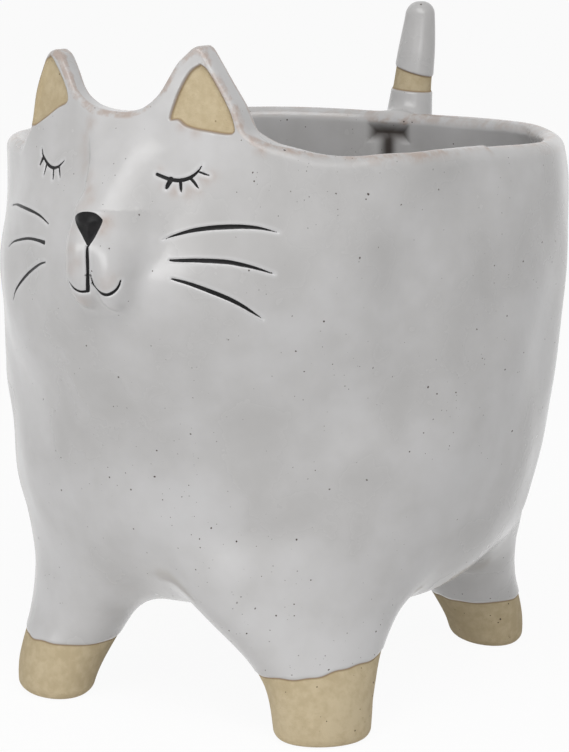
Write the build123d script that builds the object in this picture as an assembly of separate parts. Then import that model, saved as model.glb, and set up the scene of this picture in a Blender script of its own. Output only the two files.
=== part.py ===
from build123d import *
import copy
import math
import os

os.makedirs("parts", exist_ok=True)

# A cat shaped stoneware planter: a round tub on four splayed legs, with the head pushed out of
# the front of the wall and a tail behind. Millimetres, +Z up, the face looks along -Y.

# Tub
tub_radius = 76.5
wall = 6.0
rim_height = 150.5
belly_height = 26.5
rim_roll = 4.4
# Places on the outside, as shares of the tub's radius and of its height above the belly
belly_share = (0.46, 0.0)
flank_share = (0.905, 0.21)
widest_share = (1.0, 0.74)
rim_radius_share = 0.985

# Floor slab with its drain
floor_thickness = 6.5
floor_ledge = 1.4
drain_radius = 6.0

# Head, a swelling of the wall round an upright axis in front of the tub's own
head_axis_share = 0.444
head_swell = 14.5
head_drop = 80.5
head_rise = 35.5
# Height, half width and reach, as shares of the head's height and radius
head_section_shares = [
    (0.0, 0.54, 0.54), (0.09, 0.67, 0.67), (0.17, 0.79, 0.79), (0.26, 0.885, 0.885), (0.36, 0.965, 0.965),
    (0.465, 1.0, 1.0), (0.55, 1.0, 0.985), (0.64, 1.01, 0.94), (0.71, 1.06, 0.89), (0.78, 1.14, 0.835),
    (0.86, 1.2, 0.8), (0.93, 1.23, 0.78), (1.0, 1.24, 0.77),
]

# Every outline on the face is drawn from the front, across as a share of the head's radius
# and up as a share of the head's height
crown_share = (0.12, 0.789)
ear_foot_share = 0.66
ear_tip_share = (0.375, 0.93)
ear_cheek_share = (0.53, 0.83)
ear_tip_round = 2.6
ear_edge_round = 1.6
inner_ear_shares = [(0.255, 0.788), (0.372, 0.896), (0.475, 0.828), (0.507, 0.747)]
inner_ear_round = 1.6
inner_ear_recess = 0.8
inner_ear_thickness = 2.2

# Bridge of the nose, a flat wedge from the crown down to the nose
bridge_top_share = (0.17, 0.785)
bridge_nose_share = (0.095, 0.592)
bridge_chin_share = (0.09, 0.49)
bridge_top_reach_share = 0.78
bridge_chin_proud = 0.6
bridge_depth = 27.0

# Muzzle, two pads side by side
pad_width = 6.2
pad_height = 13.0
pad_apart = 4.0
pad_proud = 7.5
pad_level_share = 0.455

# Nose, a small button
nose_tip_share = (0.0, 0.512)
nose_shares = [(0.04, 0.535), (0.075, 0.572), (0.045, 0.594)]
nose_stand_out = 5.5
nose_proud = 0.9
nose_depth = 1.6
nose_round = 0.7

# Inlaid lines
line_width = 1.2
line_depth = 1.0
eye_arc_shares = [(0.232, 0.672), (0.318, 0.655), (0.408, 0.692)]
lash_shares = [
    ((0.28, 0.659), (0.268, 0.638)), ((0.325, 0.655), (0.328, 0.631)),
    ((0.372, 0.664), (0.396, 0.641)), ((0.4, 0.682), (0.434, 0.667)),
]
whisker_shares = {
    "upper": [(0.296, 0.541), (0.447, 0.563), (0.654, 0.559)],
    "middle": [(0.32, 0.498), (0.47, 0.498), (0.663, 0.47)],
    "lower": [(0.32, 0.458), (0.49, 0.418), (0.67, 0.357)],
}
mouth_top_share = (0.0, 0.515)
mouth_fork_share = (0.0, 0.425)
mouth_curl_shares = [(0.06, 0.412), (0.13, 0.444)]

# Tail, leaning back a little as it rises past the rim
tail_stand_off = 4.5
tail_drop = 48.5
tail_rise = 32.5
tail_radius = 7.0
band_rise = 6.5
band_height = 5.3
band_recess = 0.5
# Height, reach behind the tub's axis and radius, as shares of the tail's height, reach and radius
tail_section_shares = [
    (0.0, 0.77, 1.25), (0.25, 0.93, 1.15), (0.54, 1.0, 1.0), (0.69, 1.022, 0.87),
    (0.85, 1.057, 0.79), (0.95, 1.083, 0.6), (0.99, 1.09, 0.36),
]

# Legs, splayed under the belly
leg_angle = 39.0
leg_inset = 10.2
leg_rise = 33.5
leg_width = 15.0
leg_depth = 10.0
front_dip = 20.0
back_dip = 15.0
# Height, reach, half width and half depth, as shares of the leg's own sizes
leg_section_shares = [
    (0.0, 1.0, 0.6, 0.6), (0.07, 0.995, 0.87, 0.96), (0.25, 0.96, 0.97, 1.02), (0.48, 0.91, 1.22, 0.95),
    (0.68, 0.89, 1.66, 1.06), (1.0, 0.88, 1.6, 1.0),
]

overrun = 8.0

# Sizes that follow from the ones above
floor_radius = (tub_radius - wall) * belly_share[0] - floor_ledge
head_axis = tub_radius * head_axis_share
head_radius = tub_radius + head_swell - head_axis
head_bottom = rim_height - head_drop
head_height = head_drop + head_rise
nose_reach = head_radius + nose_stand_out
pad_axis = head_axis + head_radius + pad_proud - pad_width
tail_reach = tub_radius + tail_stand_off
tail_bottom = rim_height - tail_drop
tail_height = tail_drop + tail_rise
band_bottom = rim_height + band_rise
leg_reach = tub_radius - leg_inset
leg_top = belly_height + leg_rise


def section(height, across, along, half_width, half_depth, turn=0.0):
    """One oval across the form at a height, centred at across and along."""
    return Pos(across, along, height) * Rot(0.0, 0.0, turn) * Ellipse(half_width, half_depth)


# Tub


def tub_profile(radius, bottom, roll):
    """Half section of a solid tub, rounded under the belly and rolled at the rim."""

    def place(share):
        return (radius * share[0], bottom + (rim_height - bottom) * share[1])

    rim = (radius * rim_radius_share, rim_height - roll)
    lip = (rim[0] - roll, rim_height)
    upper = TangentArc(place(widest_share), rim, tangent=(0.0, 1.0))
    side = TangentArc(place(widest_share), place(flank_share), tangent=(0.0, -1.0))
    under = TangentArc(place(flank_share), place(belly_share), tangent=side % 1)
    rest = Polyline(place(belly_share), (0.0, bottom), (0.0, rim_height), lip)
    edges = [upper, side, under, *rest.edges()]
    if roll:
        edges.append(RadiusArc(rim, lip, -roll))
    return Plane.XZ * make_face(edges)


def solid_tub():
    return revolve(tub_profile(tub_radius, belly_height, rim_roll), Axis.Z)


def cavity():
    """The space inside the wall, carried on upwards past the ears."""
    room = revolve(tub_profile(tub_radius - wall, belly_height + floor_thickness, 0.0), Axis.Z)
    mouth_radius = (tub_radius - wall) * rim_radius_share
    mouth = Pos(0.0, 0.0, rim_height) * extrude(Circle(mouth_radius), amount=head_height)
    return room + mouth


def floor_disc():
    return Pos(0.0, 0.0, belly_height) * extrude(Circle(floor_radius), amount=floor_thickness)


def drain():
    return Pos(0.0, 0.0, belly_height - overrun) * extrude(Circle(drain_radius), amount=floor_thickness + 2 * overrun)


# Head


def at_face(place):
    """A place on the front view of the head, from its shares."""
    return (place[0] * head_radius, head_bottom + place[1] * head_height)


def head_swelling(inset):
    """The egg shaped swelling that the head is cut from, inset from its outside."""
    ovals = []
    for height_share, width_share, reach_share in head_section_shares:
        half_width = width_share * head_radius - inset
        reach = reach_share * head_radius - inset
        ovals.append(section(head_bottom + height_share * head_height, 0.0, -head_axis, half_width, reach))
    return loft(ovals)


def bridge(inset):
    """The flat wedge between the ears that narrows to the nose."""
    slabs = []
    back = head_radius - bridge_depth
    for place, reach in (
        (bridge_top_share, head_radius * bridge_top_reach_share),
        (bridge_nose_share, nose_reach),
        (bridge_chin_share, head_radius + bridge_chin_proud),
    ):
        half_width, height = at_face(place)
        slab = Rectangle(2 * (half_width - inset), reach - inset - back, align=(Align.CENTER, Align.MAX))
        slabs.append(Pos(0.0, -head_axis - back, height) * slab)
    return loft(slabs, ruled=True)


def pads(inset):
    """Two egg shaped pads that make the muzzle."""
    made = []
    for side in (-1, 1):
        half = Ellipse(pad_width - inset, pad_height - inset) & Rectangle(
            2 * pad_width, 2 * pad_height, align=(Align.MIN, Align.CENTER)
        )
        egg = revolve(Plane.XZ * half, Axis.Z)
        level = at_face((0.0, pad_level_share))[1]
        made.append(Pos(side * pad_apart, -pad_axis, level) * egg)
    return made[0] + made[1]


def seen_from_front(outline, start=0.0):
    """A front view outline carried forward from a start in front of the tub's axis."""
    return Pos(0.0, -start, 0.0) * extrude(Plane.XZ * outline, amount=head_axis + 2 * head_radius)


def front_outline(shares, corner_round):
    """A closed front view outline through places on the face, with its corners rounded."""
    outline = make_face(Polyline(*[at_face(place) for place in shares], close=True))
    return fillet(outline.vertices(), corner_round)


def mirrored(place):
    return (-place[0], place[1])


def crown_outline():
    """Everything below the line that runs over the crown and down to the rim."""
    crown_x, crown_z = at_face(crown_share)
    foot_x = ear_foot_share * head_radius
    side = 2 * head_radius
    places = [
        (-side, 0.0), (-side, rim_height), (-foot_x, rim_height), (-crown_x, crown_z),
        (crown_x, crown_z), (foot_x, rim_height), (side, rim_height), (side, 0.0),
    ]
    return make_face(Polyline(*places, close=True))


def ear_outline():
    """One ear seen from the front, standing on the line from crown to rim."""
    inner = at_face(crown_share)
    tip = at_face(ear_tip_share)
    foot = (ear_foot_share * head_radius, rim_height)
    sides = [Line(inner, tip), ThreePointArc(tip, at_face(ear_cheek_share), foot), Line(foot, inner)]
    outline = make_face(sides)
    return fillet(outline.vertices().sort_by_distance(tip)[0], ear_tip_round)


def nose_outline():
    right = [at_face(place) for place in nose_shares]
    left = [mirrored(place) for place in reversed(right)]
    outline = make_face(Polyline(at_face(nose_tip_share), *right, *left, close=True))
    return fillet(outline.vertices(), nose_round)


def stroke(places):
    """A brush stroke of the line width, straight through two places or curved through three."""
    points = [at_face(place) for place in places]
    run = Line(*points) if len(points) == 2 else ThreePointArc(*points)
    return SlotArc(run, line_width)


def eye_strokes():
    """A closed lid with its four lashes."""
    strokes = stroke(eye_arc_shares)
    for lash in lash_shares:
        strokes += stroke(lash)
    return strokes


def mouth_strokes():
    """The line below the nose and the curl to each side of it."""
    strokes = stroke([mouth_top_share, mouth_fork_share])
    for curl in ([mouth_fork_share, *mouth_curl_shares], [mouth_fork_share, *map(mirrored, mouth_curl_shares)]):
        strokes += stroke(curl)
    return strokes


def both_sides(name, solid):
    """A piece of the cat's left side and its mirror image."""
    return {f"left_{name}": solid, f"right_{name}": mirror(solid, Plane.YZ)}


def face_pieces():
    """The head, its ears and what is let into them."""
    pieces = {}
    form = head_swelling(0.0) + bridge(0.0)
    shell = form - head_swelling(wall) - cavity()

    inner_outline = seen_from_front(front_outline(inner_ear_shares, inner_ear_round))
    slab_back = head_swelling(inner_ear_recess + inner_ear_thickness)
    pieces.update(both_sides("inner_ear", (inner_outline & head_swelling(inner_ear_recess)) - slab_back))
    ear = (shell & seen_from_front(ear_outline())) - (inner_outline - slab_back)
    pieces.update(both_sides("ear", ear))

    nose = Pos(0.0, -head_axis - nose_reach + nose_depth, 0.0) * extrude(
        Plane.XZ * nose_outline(), amount=nose_depth + nose_proud
    )
    pieces["nose"] = copy.deepcopy(nose)
    mouth = (seen_from_front(mouth_strokes(), pad_axis) & pads(0.0)) - pads(line_depth) - nose
    pieces["mouth"] = copy.deepcopy(mouth)
    pieces["muzzle"] = pads(0.0) - nose - mouth
    head = (shell & seen_from_front(crown_outline())) - pads(0.0) - nose

    strokes = {"eye": eye_strokes()}
    for level, shares in whisker_shares.items():
        strokes[f"{level}_whisker"] = stroke(shares)
    for name, outline in strokes.items():
        line = (seen_from_front(outline) & head_swelling(0.0)) - head_swelling(line_depth)
        pieces.update(both_sides(name, copy.deepcopy(line)))
        head = head - line - mirror(line, Plane.YZ)
    pieces["head"] = head
    return pieces


# Tail


def tail_form(inset):
    """The tapering tail, from its root on the wall to its rounded tip."""
    ovals = []
    for height_share, reach_share, radius_share in tail_section_shares:
        radius = tail_radius * radius_share - inset
        ovals.append(section(tail_bottom + tail_height * height_share, 0.0, tail_reach * reach_share, radius, radius))
    return loft(ovals)


def level_slice(bottom, top):
    """Everything between two heights."""
    side = 4 * tub_radius
    return Pos(0.0, 0.0, bottom) * Box(side, side, top - bottom, align=(Align.CENTER, Align.CENTER, Align.MIN))


def tail_pieces():
    tail = tail_form(0.0)
    band_top = band_bottom + band_height
    return {
        "tail_root": (tail & level_slice(0.0, band_bottom)) - solid_tub(),
        "tail_band": tail_form(band_recess) & level_slice(band_bottom, band_top),
        "tail_tip": tail & level_slice(band_top, rim_height + 2 * tail_rise),
    }


# Legs


def leg_form(angle):
    """A whole leg from its sole up into the belly, splayed out at an angle from the middle."""
    ovals = []
    for height_share, reach_share, width_share, depth_share in leg_section_shares:
        reach = leg_reach * reach_share
        across = reach * math.sin(math.radians(angle))
        along = -reach * math.cos(math.radians(angle))
        ovals.append(section(
            leg_top * height_share, across, along, leg_width * width_share, leg_depth * depth_share, angle
        ))
    return loft(ovals)


def leg_pieces():
    pieces = {}
    body = solid_tub()
    for place, angle, dip in (("front", leg_angle, front_dip), ("back", 180.0 - leg_angle, back_dip)):
        leg = leg_form(angle)
        pieces.update(both_sides(f"{place}_paw", leg & level_slice(0.0, dip)))
        pieces.update(both_sides(f"{place}_leg", (leg & level_slice(dip, leg_top)) - body))
    return pieces


# Whole planter


def tub_pieces():
    wall_piece = solid_tub() - cavity() - head_swelling(0.0) - floor_disc()
    return {"pot_wall": wall_piece, "pot_floor": floor_disc() - drain()}


pieces = {**tub_pieces(), **face_pieces(), **tail_pieces(), **leg_pieces()}
box = Compound(children=[Part() + piece for piece in pieces.values()]).bounding_box()
# The origin is the middle of the footprint's box, where the paws stand
middle = Pos(-box.center().X, -box.center().Y, -box.min.Z)
for name, piece in pieces.items():
    export_step(middle * piece, f"parts/{name}.step")
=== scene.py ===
import math

import bpy
import numpy as np
from mathutils import Matrix


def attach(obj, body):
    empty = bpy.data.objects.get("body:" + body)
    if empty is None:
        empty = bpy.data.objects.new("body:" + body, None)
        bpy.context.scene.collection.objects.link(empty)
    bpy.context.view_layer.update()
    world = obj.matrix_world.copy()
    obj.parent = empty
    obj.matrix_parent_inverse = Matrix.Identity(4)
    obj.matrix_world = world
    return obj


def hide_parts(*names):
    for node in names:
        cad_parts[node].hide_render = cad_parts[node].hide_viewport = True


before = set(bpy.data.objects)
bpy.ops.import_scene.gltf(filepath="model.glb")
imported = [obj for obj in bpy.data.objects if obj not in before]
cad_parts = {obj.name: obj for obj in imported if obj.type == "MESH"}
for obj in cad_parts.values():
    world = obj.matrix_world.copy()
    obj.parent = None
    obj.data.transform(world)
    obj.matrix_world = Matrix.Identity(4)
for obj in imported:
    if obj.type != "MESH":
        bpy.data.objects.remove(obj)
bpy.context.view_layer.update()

# The planter's skin is worked out in millimetres round the tub's own upright axis, then moved
# into the frame, where that axis lies a little behind the origin.
MILLIMETRE = 0.001
AXIS_BACK = 3.25

# Picture that the planter is matched to, in pixels
PICTURE_WIDTH = 569
PICTURE_HEIGHT = 752

# Camera, in millimetres and degrees, turned from the way the face looks
CAMERA_TURN = 28.524
CAMERA_AWAY = 661.43
CAMERA_HEIGHT = 209.27
CAMERA_FOCUS = 2425.47
CAMERA_DOWN = 10.8545
CAMERA_YAW = 0.1
CAMERA_ROLL = 0.323
SENSOR_HEIGHT = 24.0
# Lines of sight are followed from the first distance to the second, in so many steps
SIGHT_START = 480.0
SIGHT_END = 900.0
SIGHT_STEPS = 160

# Tub
WALL = 6.0
RIM_HEIGHT = 150.5
FLOOR_TOP = 33.0
FLOOR_RADIUS = 31.0
FLOOR_EDGE_ROUND = 7.0
RIM_ROLL = 3.4
RIM_INNER_ROLL = 3.6
EAR_INNER_ROLL = 1.2
EAR_ROLL = 1.5
DRAIN_RADIUS = 6.0
DRAIN_ROUND = 1.2
# Arcs of the half section: how far out and how high their middles are, and their radius
UPPER_ARC = (-259.5, 118.26, 336.0)
SIDE_ARC = (-223.5, 118.26, 300.0)
UNDER_ARC = (36.7, 59.8, 33.3)

# Head, an upright swelling in front of the tub's axis: height, half width and reach
HEAD_AXIS = 34.0
HEAD_SECTIONS = [
    (50, 18, 18), (70, 31, 31), (80, 38.5, 38.5), (90, 45, 45), (100, 50.5, 50.5), (112, 55.2, 55.2),
    (124, 57, 57), (134, 57, 56), (144, 57.6, 53.4), (152, 60.5, 50.6), (160, 65, 47.6),
    (170, 68.5, 45.4), (178, 70.2, 44.5), (190, 71, 43.8),
]
HEAD_JOIN = 15.0
HEAD_FOOT = 62.0
HEAD_FOOT_ROUND = 10.0

# Unevenness left by the hand, in millimetres, and the picture's way aside, seen from above
HAND_SEED = 11
BROAD_DENTS = 0.45
THUMB_DENTS = 0.34
PICTURE_ASIDE = (0.8786, 0.4775, 0.0)
# Swellings of the wall: how far out, height, how tall, how far aside and how wide
SWELLS = [(2.0, 132, 28, 78, 40), (0.6, 66, 22, 70, 40), (1.5, 51, 20, -72, 26)]
# The wall falls back by the right shoulder, in the same terms
SHOULDER = (4.5, 149, 30, -76, 26)

# Bridge of the nose by height: how far it stands forward, and where its two side edges lie
BRIDGE_FRONT = ([128.0, 138.6, 152.4, 161.2, 175.0], [96.6, 96.2, 87.4, 80.2, 71.0])
BRIDGE_CRISP_EDGE = ([118.0, 139.0, 143.0, 150.0, 161.0, 175.0], [4.6, 4.8, 3.6, 4.8, 9.6, 12.6])
BRIDGE_SOFT_EDGE = ([118.0, 138.6, 150.0, 161.0, 175.0], [4.4, 5.6, 8.6, 10.6, 13.0])
BRIDGE_FOOT = 124.0
BRIDGE_JOIN = 3.4

# Muzzle pads: how far apart, how softly they meet, the middle and the half sizes of each
PADS_APART = 4.3
PADS_CREASE = 1.6
PAD_BACK = 90.9
PAD_HEIGHT = 125.0
PAD_SIZE = (4.7, 6.2, 10.6)
PADS_JOIN = 4.4

# Ears and the dip between them, as the picture shows their edge: places and depth into the wall
EDGE_PLACES = [
    (25.2, 126.7, 1), (28.1, 115.3, 1), (33.2, 88.5, 1), (40.8, 64.9, 1), (48.5, 53.2, 2),
    (58.3, 49, 3), (66, 50.5, 4.5), (72.1, 55.3, 5), (79.7, 70.6, 5), (88, 89.1, 5), (97, 101.5, 4),
    (110, 108.6, 3), (128, 111, 2.5), (142, 108.8, 2), (150, 104.3, 1.5), (158.3, 97.2, 1.2),
    (164.9, 88.9, 1), (173.2, 75.7, 1), (181.5, 62.4, 1), (193.1, 52.4, 2), (200, 47, 2.5),
    (207.2, 45.1, 3), (214, 48.6, 3.8), (224.6, 65.7, 4), (232.9, 80.6, 4), (247.8, 105.5, 4.2),
    (253.6, 117.1, 4.5), (261, 131.2, 4.5),
]

# Top of the near rim beside the ear, in the same way
RIM_PLACES = [
    (275, 143.2, 3.2), (290, 147.6, 2.6), (324, 155, 2.4), (355, 156.4, 2.4), (382, 154, 2.4),
    (410, 152.6, 2.4), (431, 150.2, 2.4),
]

# Bare triangles let into the ears, as outlines on the right and the left side of the picture
RIGHT_SIDE_INNER_EAR = [
    (199.3, 64.5), (190.5, 70.5), (183.2, 81.5), (174.9, 99.7), (169.5, 118.8), (177.4, 119.8),
    (187.3, 126.9), (208, 131.6), (231.4, 134), (232.6, 122.9), (228.6, 110.5), (220.4, 93.1),
    (209.3, 73.2), (203.6, 67),
]
LEFT_SIDE_INNER_EAR = [
    (50.4, 55.3), (57.4, 68.7), (63.8, 83.4), (67, 95.5), (65.7, 102.8), (57.4, 107.6), (44.6, 117.8),
    (33, 125.6), (30.6, 119.7), (33.2, 103.8), (37, 86.6), (44.6, 62.3),
]
EAR_RECESS = 0.9
# Where each ear's foot starts beside the crown, across and up, and where it ends at the rim
EAR_FOOT_INNER = (6.84, 161.5)
EAR_FOOT_OUTER = 37.6

# Nose button, as the picture shows it, and how far it stands out
NOSE = [
    (88.2, 248.6), (80.9, 234.3), (74.9, 219.4), (76.4, 214.2), (82, 211.5), (88.5, 211.2),
    (95.2, 212.6), (101.6, 217.6), (102.8, 222.4), (95.6, 237.1),
]
NOSE_PROUD = 1.1
# Brown stains of thin glaze: place in the picture, reach in millimetres and strength
STAINS = [
    (106, 223, 1.7, 1), (103, 232, 1.3, 0.8), (82, 206, 1.6, 0.5), (89, 200, 1.4, 0.7),
    (88, 190, 1.5, 0.7), (88, 178, 1.7, 0.55), (86, 165, 2, 0.5), (85, 152, 2, 0.5),
    (86, 138, 2, 0.45), (90, 124, 1.8, 0.7), (72, 230, 1.8, 0.35), (70, 250, 2, 0.45),
    (70, 268, 2, 0.45), (76, 262, 1.6, 0.4), (82, 302, 2.2, 0.4), (105, 284, 2.4, 0.4),
    (112, 278, 1.8, 0.35), (165, 186, 1.2, 0.5), (174, 191, 1.4, 0.8), (188, 193, 1.4, 0.7),
    (197, 190, 1.4, 0.8), (206, 180, 1.6, 0.6), (212, 176, 1.4, 0.5), (160, 170, 1, 0.4),
    (40, 164, 0.9, 0.5), (262, 150, 1.2, 0.8), (254, 138, 1.2, 0.8), (248, 124, 1.2, 0.7),
    (182, 126, 1.4, 0.6), (196, 132, 1.4, 0.6),
]
# Each line has its places and its half width in millimetres at its start, middle and end
LINES = {
    "right_eye": [
        ([(41.7, 149.2), (42.3, 154.7), (45, 160.5), (48.6, 165.4), (53, 167.7), (57.9, 166.3),
          (64, 160.3)], (0.24, 0.48, 0.18)),
        ([(42.3, 158.4), (39.6, 164.3)], (0.55, 0.43, 0.33)),
        ([(45.9, 165), (43.4, 174.6)], (0.4, 0.32, 0.2)),
        ([(53, 167.6), (52.4, 179.7)], (0.4, 0.34, 0.2)),
        ([(58.4, 166.2), (59.5, 177.1)], (0.37, 0.34, 0.22)),
    ],
    "left_eye": [
        ([(157.2, 174.2), (164.7, 177.4), (172.1, 179.7), (180.2, 180.3), (188.8, 178), (196.3, 172.8),
          (202.6, 164.9)], (0.46, 0.54, 0.13)),
        ([(170.6, 179.7), (168, 184.6), (165.8, 189.4)], (0.79, 0.59, 0.15)),
        ([(180.2, 180.6), (181, 191.7)], (0.51, 0.45, 0.26)),
        ([(189.9, 177.8), (194, 182.4), (197.9, 187.9)], (0.46, 0.43, 0.24)),
        ([(197.6, 171.4), (209.9, 175.8)], (0.31, 0.32, 0.13)),
    ],
    "right_upper_whisker": [
        ([(12.2, 204.9), (16.5, 204.4), (23, 207.2), (32.1, 211.4), (39.8, 216), (47.8, 223.7)],
         (0.22, 0.46, 0.22)),
    ],
    "right_middle_whisker": [
        ([(8.2, 246.6), (13, 241.7), (20.7, 239.4), (28.3, 238.6), (36.7, 240.1), (43.6, 242.6)],
         (0.17, 0.41, 0.58)),
    ],
    "right_lower_whisker": [
        ([(12.6, 300.9), (14.9, 291), (19.9, 282.6), (26.8, 274.2), (33.7, 268.1), (39.8, 263.9),
          (44.6, 262.3)], (0.14, 0.46, 0.28)),
    ],
    "left_upper_whisker": [
        ([(162.7, 239.9), (173.9, 235.6), (191.1, 230.8), (211.2, 227.9), (236.1, 226.7),
          (253.3, 227.4), (264.8, 229.2), (278.6, 232.6)], (0.11, 0.62, 0.09)),
    ],
    "left_middle_whisker": [
        ([(169.9, 260.4), (176.8, 260.6), (197.8, 260.6), (224.6, 261.9), (240.9, 264.7),
          (255.2, 268.1), (274.6, 274.3)], (0.33, 0.6, 0.09)),
    ],
    "left_lower_whisker": [
        ([(171.8, 279.1), (188.3, 283.7), (207.4, 290.6), (226.5, 298.2), (240.9, 305.4),
          (253.3, 313.1), (263.2, 319.7)], (0.31, 0.6, 0.09)),
    ],
    "mouth": [
        ([(87, 247), (87.2, 265.2), (87.6, 280), (87.9, 291.2)], (0.33, 0.49, 0.55)),
        ([(88.2, 291.6), (80.2, 292), (73.9, 289), (70.3, 284.8), (67.5, 279.5)], (0.46, 0.38, 0.11)),
        ([(89.6, 273), (91, 279.6), (93.6, 286.4), (99.1, 292.5), (106.8, 295.3), (114.5, 291.8),
          (118.8, 286.9), (120.9, 281)], (0.11, 0.49, 0.29)),
    ],
}
LINE_DEPTH = 0.45

# Legs, splayed from the middle: turn, height of the glaze's edge, how it slopes, how far the leg
# leans aside at its sole and at its top, and how much wider than the others it is at its top
LEGS = {
    "left_front": (39.0, 19.2, -0.15, -0.7, -4.2, 3.0),
    "right_front": (-39.0, 16.4, 0.05, 0.0, 0.0, 0.0),
    "left_back": (141.0, 14.6, 0.02, 0.0, 0.0, 2.0),
    "right_back": (-141.0, 15.5, 0.03, 0.0, 0.0, 1.0),
}
# Height, reach, half width and half depth
LEG_SECTIONS = [
    (-2, 66, 12.6, 9.6), (5, 65.7, 13.3, 10.9), (12, 63, 14, 12.4), (20, 59, 15.8, 13.3),
    (28, 55.6, 20.5, 14.8), (34, 53, 25.5, 16.5), (40, 52, 29, 17), (48, 50.5, 30, 16.5),
    (55, 46.5, 28.5, 15.5), (62, 41, 26, 14),
]
LEG_JOIN = 7.0
GLAZE_THICKNESS = 0.35

# Tail: height, how far behind the axis, and radius
TAIL_SECTIONS = [
    (96, 62, 8.4), (112, 69.5, 8.4), (125, 75.5, 8), (140, 79.6, 7.3), (150, 81.6, 6.85),
    (157, 83, 6.1), (166, 85.3, 5.8), (173, 87, 5.15), (178, 88, 4.5), (184, 88.6, 3.9),
]
TAIL_TOP = 182.8
TAIL_ACROSS = -0.5
TAIL_JOIN = 5.0
# How far short of the wall's inner side the tail's root ends
TAIL_ROOT_SHORT = 3.0
# The bare band's lower and upper edge, with their slopes across
BAND = (156.6, 162.2)
BAND_SLOPE = (-0.09, -0.3)
BAND_RECESS = 0.45

# T shaped hollow inside the back wall, as two bars: middle and half size across, then up
HOLLOW_BARS = [(-1.7, 5.0, 144.4, 0.9), (-2.1, 1.1, 138.2, 6.4)]
HOLLOW_DEPTH = 1.3

# Distance given where a form plays no part
FAR = 9.0
# Depth that parts the wall's outer side from its inner side
OUTER_SIDE = -3.0

GRID_LOW = (-82.0, -104.0, -4.0)
GRID_HIGH = (84.0, 98.0, 190.0)
GRID_STEP = 2.0
REFINE_ROUNDS = 5
PROBE_REACH = 0.12


# Forms

def soft_join(one, other, width):
    """Distance to two forms run together like wet clay."""
    share = np.clip(0.5 + 0.5 * (other - one) / width, 0.0, 1.0)
    return other * (1 - share) + one * share - width * share * (1 - share)


def rounded_edge(one, other, radius):
    """Distance to what two forms have in common, with the edge between them rounded."""
    corner = np.hypot(np.maximum(one + radius, 0), np.maximum(other + radius, 0))
    return np.minimum(-radius, np.maximum(one, other)) + corner


def in_frame(places):
    """Places in the shared frame, in metres."""
    return (np.array(places) + np.array([0.0, AXIS_BACK, 0.0])) * MILLIMETRE


def length_of(rows):
    """The length of each row taken as an arrow."""
    return np.linalg.norm(rows, axis=1)


def smooth_step(value, low, high):
    """Rises from nought to one between two values."""
    share = np.clip((value - low) / (high - low), 0.0, 1.0)
    return share * share * (3 - 2 * share)


def only_where(here, places, distance):
    """A distance that is worked out only where it matters."""
    found = np.full(len(places), FAR)
    if here.any():
        found[here] = distance(places[here])
    return found


class Taper:
    """Sizes that change smoothly with height."""

    def __init__(self, sections, blur=3.0, step=0.5):
        table = np.array(sections, dtype=float)
        self.heights = np.arange(table[0, 0] - 4 * blur, table[-1, 0] + 4 * blur, step)
        reach = np.arange(-4 * blur, 4 * blur + step, step)
        weights = np.exp(-0.5 * (reach / blur) ** 2)
        weights /= weights.sum()
        half = len(reach) // 2
        self.columns = []
        for column in table[:, 1:].T:
            plain = np.interp(self.heights, table[:, 0], column)
            padded = np.concatenate([np.full(half, plain[0]), plain, np.full(half, plain[-1])])
            self.columns.append(np.convolve(padded, weights, mode="valid"))

    def at(self, height):
        return [np.interp(height, self.heights, column) for column in self.columns]


head_taper = Taper(HEAD_SECTIONS, blur=5.0)
leg_taper = Taper(LEG_SECTIONS)
tail_taper = Taper(TAIL_SECTIONS)


def oval(across, along, half_width, half_depth):
    """Distance to an upright oval column."""
    near = np.hypot(across / half_width, along / half_depth)
    steep = np.hypot(across / half_width ** 2, along / half_depth ** 2)
    return near * (near - 1) / np.maximum(steep, 1e-6)


# Unevenness left by the hand

hand = np.random.default_rng(HAND_SEED)


def hand_waves(count, longest, shortest):
    """Waves that run every way through the clay, with their lengths in millimetres."""
    turns = hand.normal(size=(count, 3))
    turns /= length_of(turns)[:, None]
    lengths = hand.uniform(shortest, longest, count)
    return turns * (2 * math.pi / lengths)[:, None], hand.uniform(0, 2 * math.pi, count)


broad_waves = hand_waves(14, 110.0, 55.0)
thumb_waves = hand_waves(26, 40.0, 20.0)


def unevenness(places, waves):
    turns, starts = waves
    return np.sin(places @ turns.T + starts).sum(axis=1) / math.sqrt(len(starts) / 2)


# Tub, head, face, legs and tail

def tub_distance(places):
    out = np.hypot(places[:, 0], places[:, 1])
    high = places[:, 2]
    upper = np.hypot(out - UPPER_ARC[0], high - UPPER_ARC[1]) - UPPER_ARC[2]
    side = np.hypot(out - SIDE_ARC[0], high - SIDE_ARC[1]) - SIDE_ARC[2]
    under = np.hypot(np.maximum(out - UNDER_ARC[0], 0), high - UNDER_ARC[1]) - UNDER_ARC[2]
    slope = (UNDER_ARC[1] - SIDE_ARC[1]) / (UNDER_ARC[0] - SIDE_ARC[0])
    below_side = high < UNDER_ARC[1] + slope * (out - UNDER_ARC[0])
    return np.where(high > UPPER_ARC[1], upper, np.where(below_side, under, side))


def head_distance(places):
    half_width, reach = head_taper.at(places[:, 2])
    # The head flares as it rises, which the last factor makes up for
    column = oval(places[:, 0], places[:, 1] + HEAD_AXIS, half_width, reach) * 0.93
    return rounded_edge(column, HEAD_FOOT - places[:, 2], HEAD_FOOT_ROUND)


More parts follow.
